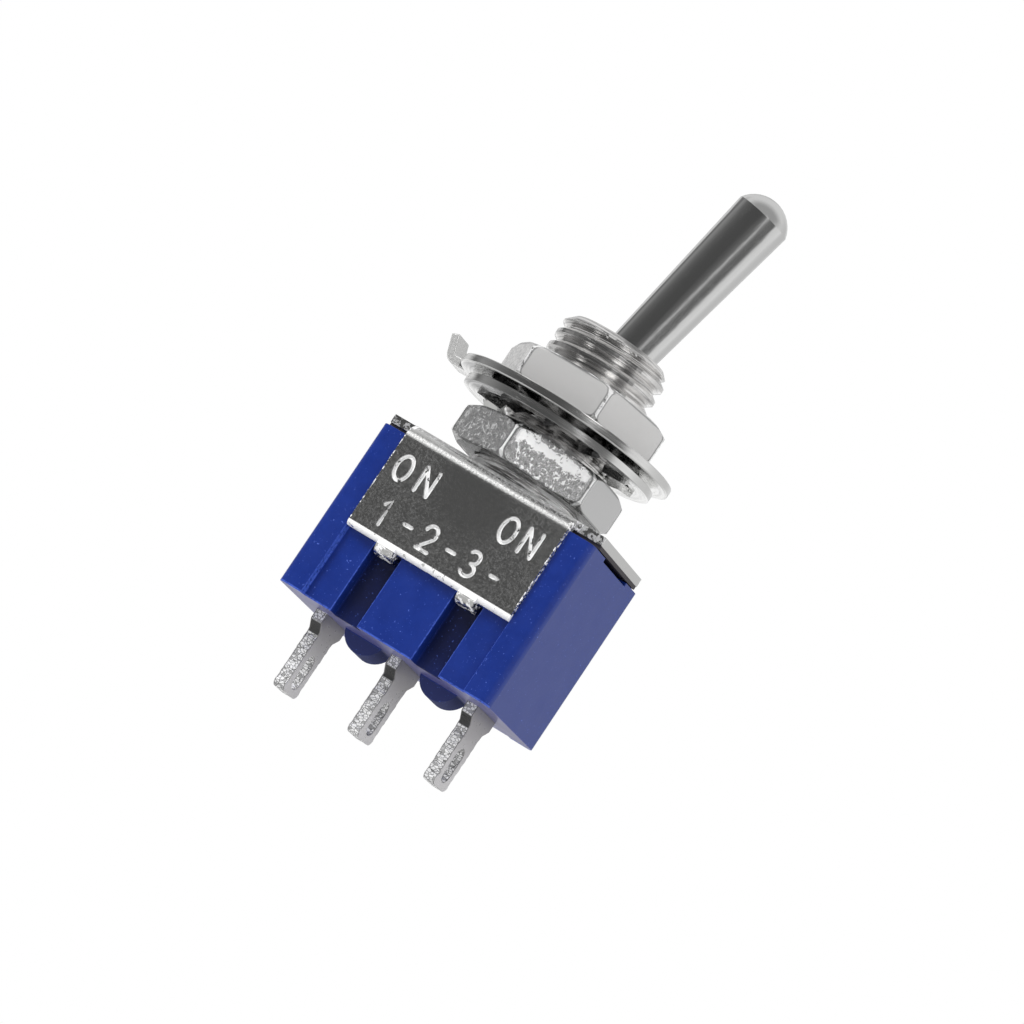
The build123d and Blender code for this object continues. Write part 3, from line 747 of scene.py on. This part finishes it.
frameValues = {
    "edge": 0.05, "face": -4.15, "stroke": 0.12, "top": -1.56, "height": 1.32, "width": 0.74,
    "letters": (("O", -4.46), ("N", -2.97), ("O", 2.02), ("N", 3.39)),
    "numberTop": -3.88, "numbers": (("1", -3.9), ("dash", -2.55), ("2", -1.25), ("dash", 0.1), ("3", 1.4),
                                    ("dash", 2.75)),
}


def arcPoints(centre, size, start, end, count):
    # Points on an ellipse, from one angle to another
    steps = [math.radians(start + (end - start) * index / count) for index in range(count + 1)]
    return [(centre[0] + size[0] * math.cos(angle), centre[1] + size[1] * math.sin(angle)) for angle in steps]


markShapes = {
    # Strokes in a box 1 wide and 1 high
    "O": [arcPoints((0.55, 0.5), (0.55, 0.5), 0, 360, 28)],
    "N": [[(0, 0), (0, 1)], [(0, 1), (1, 0)], [(1, 0), (1, 1)]],
    "1": [[(0.15, 0.78), (0.5, 1.0), (0.5, 0.0)]],
    "2": [arcPoints((0.5, 0.7), (0.45, 0.3), 165, -30, 10) + [(0.05, 0.0)], [(0.05, 0.0), (0.98, 0.0)]],
    "3": [arcPoints((0.45, 0.75), (0.42, 0.25), 140, -90, 10), arcPoints((0.45, 0.25), (0.5, 0.25), 90, -145, 10)],
    "dash": [[(0.25, 0.5), (0.85, 0.5)]],
}


def makeStroke(points, radius):
    # A round bar with rounded ends that follows the points on the frame's face
    path = [Vector(point) for point in points]
    isLoop = (path[0] - path[-1]).length < 0.001
    widths = [1.0] * len(path)
    if isLoop:
        path, widths = path[:-1], widths[:-1]
    else:
        head = (path[1] - path[0]).normalized() * radius
        tail = (path[-2] - path[-1]).normalized() * radius
        path = [path[0] - head, path[0] - head * 0.7] + path + [path[-1] - tail * 0.7, path[-1] - tail]
        widths = [0.05, 0.68] + widths + [0.68, 0.05]
    data = bpy.data.curves.new("stroke", "CURVE")
    data.dimensions = "3D"
    data.bevel_depth = radius
    data.bevel_resolution = 3
    data.use_fill_caps = not isLoop
    spline = data.splines.new("POLY")
    spline.points.add(len(path) - 1)
    spline.use_cyclic_u = isLoop
    for point, place, width in zip(spline.points, path, widths):
        point.co = (place.x, frameValues["face"], place.y, 1)
        point.radius = width
    stroke = bpy.data.objects.new("stroke", data)
    scene.collection.objects.link(stroke)
    pick(stroke)
    bpy.ops.object.convert(target="MESH")
    return bpy.context.object


def stampMarks(piece, marks, top):
    for mark, left in marks:
        for points in markShapes[mark]:
            place = [(left + across * frameValues["width"], top + (rise - 1) * frameValues["height"])
                     for across, rise in points]
            carve(piece, makeStroke(place, frameValues["stroke"]))


def buildFrame():
    piece = copyNode("cover_frame", "pressedFrame")
    softenEdges(piece, frameValues["edge"], 2)
    stampMarks(piece, frameValues["letters"], frameValues["top"])
    stampMarks(piece, frameValues["numbers"], frameValues["numberTop"])
    return settle(piece, "base", "frame_steel", frameSteel, "cover_frame", smooth=20)


buildFrame()
print("stage: frame done")


# Threaded bushing

def buildThreadCutter():
    # The V between two crests, turned up the bushing
    half = (threadValues["pitch"] - threadValues["flat"]) / 2
    crest, root, z = threadValues["crest"], threadValues["root"], threadValues["start"]
    outline = [(root, 0, z - 0.04), (root, 0, z + 0.04), (crest, 0, z + half), (crest + 0.3, 0, z + half),
               (crest + 0.3, 0, z - half), (crest, 0, z - half)]
    piece = drawLoop("threadCutter", outline)
    modify(piece, "SCREW", angle=math.radians(360), screw_offset=threadValues["pitch"],
           iterations=threadValues["turns"], steps=threadValues["steps"], render_steps=threadValues["steps"],
           axis="Z", use_merge_vertices=False)
    # The first part of the turn runs out to the crest
    for vertex in piece.data.vertices:
        angle = math.degrees(math.atan2(vertex.co.y, vertex.co.x)) % 360
        turns = (vertex.co.z - z) / threadValues["pitch"] - angle / 360
        if angle < threadValues["leadIn"] and abs(turns) < 0.5:
            reach = vertex.co.xy.length
            grown = reach + (crest + 0.1 - root) * (1 - angle / threadValues["leadIn"])
            vertex.co.xy *= grown / reach
    openMesh(piece)
    bpy.ops.mesh.fill_holes(sides=0)
    bpy.ops.mesh.normals_make_consistent(inside=False)
    closeMesh()
    return piece


def buildBushing():
    piece = copyNode("bushing", "threadedBushing")
    carve(piece, buildThreadCutter())
    return settle(piece, "base", "bushing_nickel", threadNickel, "bushing", smooth=24)


buildBushing()
print("stage: bushing done")


# Nuts and washers

edgeValues = {"upper_nut": 0.16, "lower_nut": 0.22, "locating_washer": 0.08, "lock_washer": 0.06, "lever": 0.03}


def dressNode(node, name, body, slot, material, segments=2):
    piece = copyNode(node, name)
    softenEdges(piece, edgeValues[node], segments)
    return settle(piece, body, slot, material, node)


dressNode("upper_nut", "panelNut", "upper_nut", "nut_nickel", panelNutNickel, 4)
dressNode("lower_nut", "backNut", "lower_nut", "nut_nickel", backNutNickel, 4)
dressNode("locating_washer", "tabWasher", "base", "washer_nickel", washerNickel)
dressNode("lock_washer", "toothWasher", "base", "washer_nickel", washerNickel)
print("stage: nuts and washers done")


# Terminals with torn edges

def buildTerminal(side, seed):
    # The punched edges of the blade are torn into ridges across its thickness
    piece = copyNode("terminal_" + side, "solderBlade." + side)
    softenEdges(piece, terminalValues["edge"])
    chance = random.Random(seed)
    levels = []
    height = terminalValues["top"]
    while height > terminalValues["tip"]:
        levels.append(height)
        height -= terminalValues["step"] * chance.uniform(0.7, 1.3)
    for level in levels:
        openMesh(piece)
        bpy.ops.mesh.bisect(plane_co=(0, 0, level), plane_no=(0, 0, 1))
        closeMesh()
    depths = [chance.uniform(0, terminalValues["tear"]) for level in levels]
    inside = terminalValues["halfWidth"] - terminalValues["edge"] * 1.1
    for vertex in piece.data.vertices:
        if abs(vertex.co.y) < inside:
            continue
        for level, depth in zip(levels, depths):
            if abs(vertex.co.z - level) < 0.002:
                vertex.co.y -= math.copysign(depth, vertex.co.y)
                break
    return settle(piece, "base", "terminal_plate", terminalPlate, "terminal_" + side, smooth=22)


for seed, side in enumerate(("left", "centre", "right")):
    buildTerminal(side, seed + 3)
print("stage: terminals done")


# Lever, and the inner parts as they come

dressNode("lever", "batLever", "lever", "lever_chrome", leverChrome)

keptFinishes = {
    "insulator_sheet": insulatorFibre,
    "pivot_pin": pinSteel,
    "plunger": plungerPlastic,
    "plunger_spring": springSteel,
    "rocker_contact": rockerBrass,
    "rocker_pad_left": contactSilver,
    "rocker_pad_right": contactSilver,
    "contact_left": contactSilver,
    "contact_right": contactSilver,
}
for node, material in keptFinishes.items():
    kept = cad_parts[node]
    kept.data.materials.clear()
    kept.data.materials.append(material)
print("stage: lever and inner parts done")


# Studio: panels round the object as (angle from the front, brightness), for what metal shows

studioValues = {
    "front": -65.4,
    "panels": ((-180, 0.50), (-160, 0.66), (-146, 0.70), (-132, 0.11), (-117, 0.27), (-101, 0.21), (-89, 0.143),
               (-78, 0.113), (-62, 0.085), (-45, 0.076), (-18, 0.074), (-6, 0.105), (8, 0.16), (12, 0.22),
               (16, 0.48), (20, 0.42), (25, 0.20), (33, 0.145), (48, 0.135), (56, 0.20), (66, 0.70), (90, 0.78),
               (101, 0.66), (115, 0.60), (140, 0.58), (165, 0.72), (180, 0.50)),
    "aboveFront": 0.36, "aboveBack": 0.70, "belowBack": 1.0, "strips": ((19, 12, 1.6), (-59, 7, 1.4)),
    "stripRise": (0.30, 0.38, 0.72, 0.82), "fill": 0.55, "floorHeight": -0.060,
    "floorRadius": 0.35, "under": 0.10, "frontFloor": 0.50, "farFloor": 0.72, "nearRing": (0.020, 0.036),
    "farRing": (0.12, 0.20), "cameraRing": (0.05, 0.16), "cameraShare": (0.8, 1.0), "overhead": (0.45, 0.80),
    "frontToBack": (0.25, -0.35), "behind": (-0.70, -0.85), "behindDrop": (-0.02, -0.07),
}


def makeWorld():
    world = bpy.data.worlds.new("studio")
    scene.world = world
    world.use_nodes = True
    tree = world.node_tree
    tree.nodes.clear()
    links = tree.links
    place = newNode(tree, "ShaderNodeTexCoord", (-1600, 0))
    turn = newNode(tree, "ShaderNodeMapping", (-1400, 0))
    turn.inputs["Rotation"].default_value = (0, 0, -math.radians(studioValues["front"]))
    links.new(place.outputs["Generated"], turn.inputs["Vector"])
    split = newNode(tree, "ShaderNodeSeparateXYZ", (-1200, 0))
    links.new(turn.outputs[0], split.inputs[0])
    angle = calc(tree, "ARCTAN2", split.outputs["Y"], split.outputs["X"])
    share = ramp(tree, angle, -math.pi, math.pi, smooth=False)
    panels = newNode(tree, "ShaderNodeValToRGB", (-800, 0))
    stops = panels.color_ramp.elements
    while len(stops) < len(studioValues["panels"]):
        stops.new(0.5)
    for stop, (degrees, level) in zip(stops, studioValues["panels"]):
        stop.position = (degrees + 180) / 360
        stop.color = (level, level, level, 1)
    links.new(share, panels.inputs["Fac"])
    overhead = ramp(tree, split.outputs["Z"], *studioValues["overhead"])
    high = ramp(tree, split.outputs["X"], *studioValues["frontToBack"], studioValues["aboveFront"],
                studioValues["aboveBack"])
    gloss = mixColor(tree, overhead, panels.outputs["Color"], high)
    low, lowFull, highFull, top = studioValues["stripRise"]
    raised = product(tree, ramp(tree, split.outputs["Z"], low, lowFull),
                     ramp(tree, split.outputs["Z"], highFull, top, 1.0, 0.0))
    for degrees, half, level in studioValues["strips"]:
        off = absolute(tree, calc(tree, "SUBTRACT", angle, math.radians(degrees)))
        near = ramp(tree, off, math.radians(half - 3), math.radians(half + 3), 1.0, 0.0)
        lit = product(tree, raised, near)
        gloss = mixColor(tree, lit, gloss, (level, level, level))
    behind = product(tree, ramp(tree, split.outputs["X"], *studioValues["behind"]),
                     ramp(tree, split.outputs["Z"], *studioValues["behindDrop"]))
    white = studioValues["belowBack"]
    gloss = mixColor(tree, behind, gloss, (white, white, white))
    path = newNode(tree, "ShaderNodeLightPath", (-750, 400))
    isGloss = largest(tree, path.outputs["Is Glossy Ray"], path.outputs["Is Transmission Ray"])
    fill = studioValues["fill"]
    seen = mixColor(tree, isGloss, (fill, fill, fill), gloss)
    shown = mixColor(tree, path.outputs["Is Camera Ray"], seen, (1.0, 1.0, 1.0))
    background = newNode(tree, "ShaderNodeBackground", (100, 0))
    links.new(shown, background.inputs["Color"])
    output = newNode(tree, "ShaderNodeOutputWorld", (300, 0))
    links.new(background.outputs[0], output.inputs["Surface"])


def makeFloor():
    bpy.ops.mesh.primitive_circle_add(vertices=96, radius=studioValues["floorRadius"], fill_type="NGON",
                                      location=(0, 0, studioValues["floorHeight"]))
    floor = bpy.context.object
    floor.name = "studioFloor"
    material, tree, shader = newMaterial("floorWhite", (0.86, 0.86, 0.86), roughness=0.9)
    links = tree.links
    place = newNode(tree, "ShaderNodeTexCoord", (-900, 300))
    reach = newNode(tree, "ShaderNodeVectorMath", (-700, 300), operation="LENGTH")
    links.new(place.outputs["Object"], reach.inputs[0])
    # Painted shadow: the floor's glow that metal reflects is dim right under the object
    near = ramp(tree, reach.outputs["Value"], *studioValues["nearRing"], studioValues["under"],
                studioValues["frontFloor"])
    far = ramp(tree, reach.outputs["Value"], *studioValues["farRing"])
    fade = newNode(tree, "ShaderNodeMix", (-300, 300), data_type="FLOAT")
    links.new(far, fade.inputs[0])
    links.new(near, fade.inputs[2])
    fade.inputs[3].default_value = studioValues["farFloor"]
    path = newNode(tree, "ShaderNodeLightPath", (-700, 600))
    glow = newNode(tree, "ShaderNodeEmission", (-200, 400))
    links.new(fade.outputs[0], glow.inputs["Strength"])
    white = newNode(tree, "ShaderNodeEmission", (-200, 600))
    white.inputs["Strength"].default_value = 1.0
    isGloss = largest(tree, path.outputs["Is Glossy Ray"], path.outputs["Is Transmission Ray"])
    share = product(tree, path.outputs["Is Camera Ray"],
                    ramp(tree, reach.outputs["Value"], *studioValues["cameraRing"], *studioValues["cameraShare"]))
    # The side seen from below is clear
    side = newNode(tree, "ShaderNodeNewGeometry", (0, 600))
    clear = newNode(tree, "ShaderNodeBsdfTransparent", (200, 600))
    shown = shader.outputs[0]
    for factor, other in ((isGloss, glow), (share, white), (side.outputs["Backfacing"], clear)):
        mix = newNode(tree, "ShaderNodeMixShader", (200, 300))
        for socket, value in zip(mix.inputs, (factor, shown, other.outputs[0])):
            links.new(value, socket)
        shown = mix.outputs[0]
    links.new(shown, tree.nodes["Material Output"].inputs["Surface"])
    floor.data.materials.append(material)


lampValues = {
    # name: (place, size, power)
    "keyLamp": ((-0.22, -0.20, 0.22), 0.16, 1.1),
    "fillLamp": ((0.28, -0.10, 0.06), 0.20, 0.35),
}


def addLamp(name, place, size, power):
    data = bpy.data.lights.new(name, "AREA")
    data.shape = "DISK"
    data.size = size
    data.energy = power
    lamp = bpy.data.objects.new(name, data)
    scene.collection.objects.link(lamp)
    lamp.location = place
    lamp.rotation_euler = (-Vector(place)).to_track_quat("-Z", "Y").to_euler()
    lamp.visible_glossy = False  # metal shows the panels, not the lamps


makeWorld()
makeFloor()
for lampName, lamp in lampValues.items():
    addLamp(lampName, *lamp)
print("stage: studio done")


# Camera

cameraValues = {"place": (0.109818, -0.240097, -0.032943), "turn": (98.3309, -33.4909, 19.9300),
                "lens": 191.416, "sensor": 36.0}


def makeCamera():
    data = bpy.data.cameras.new("photoCamera")
    data.lens = cameraValues["lens"]
    data.sensor_width = cameraValues["sensor"]
    data.clip_start = 0.01
    data.clip_end = 10
    camera = bpy.data.objects.new("photoCamera", data)
    scene.collection.objects.link(camera)
    camera.location = cameraValues["place"]
    camera.rotation_euler = [math.radians(angle) for angle in cameraValues["turn"]]
    scene.camera = camera


makeCamera()
print("stage: camera done")
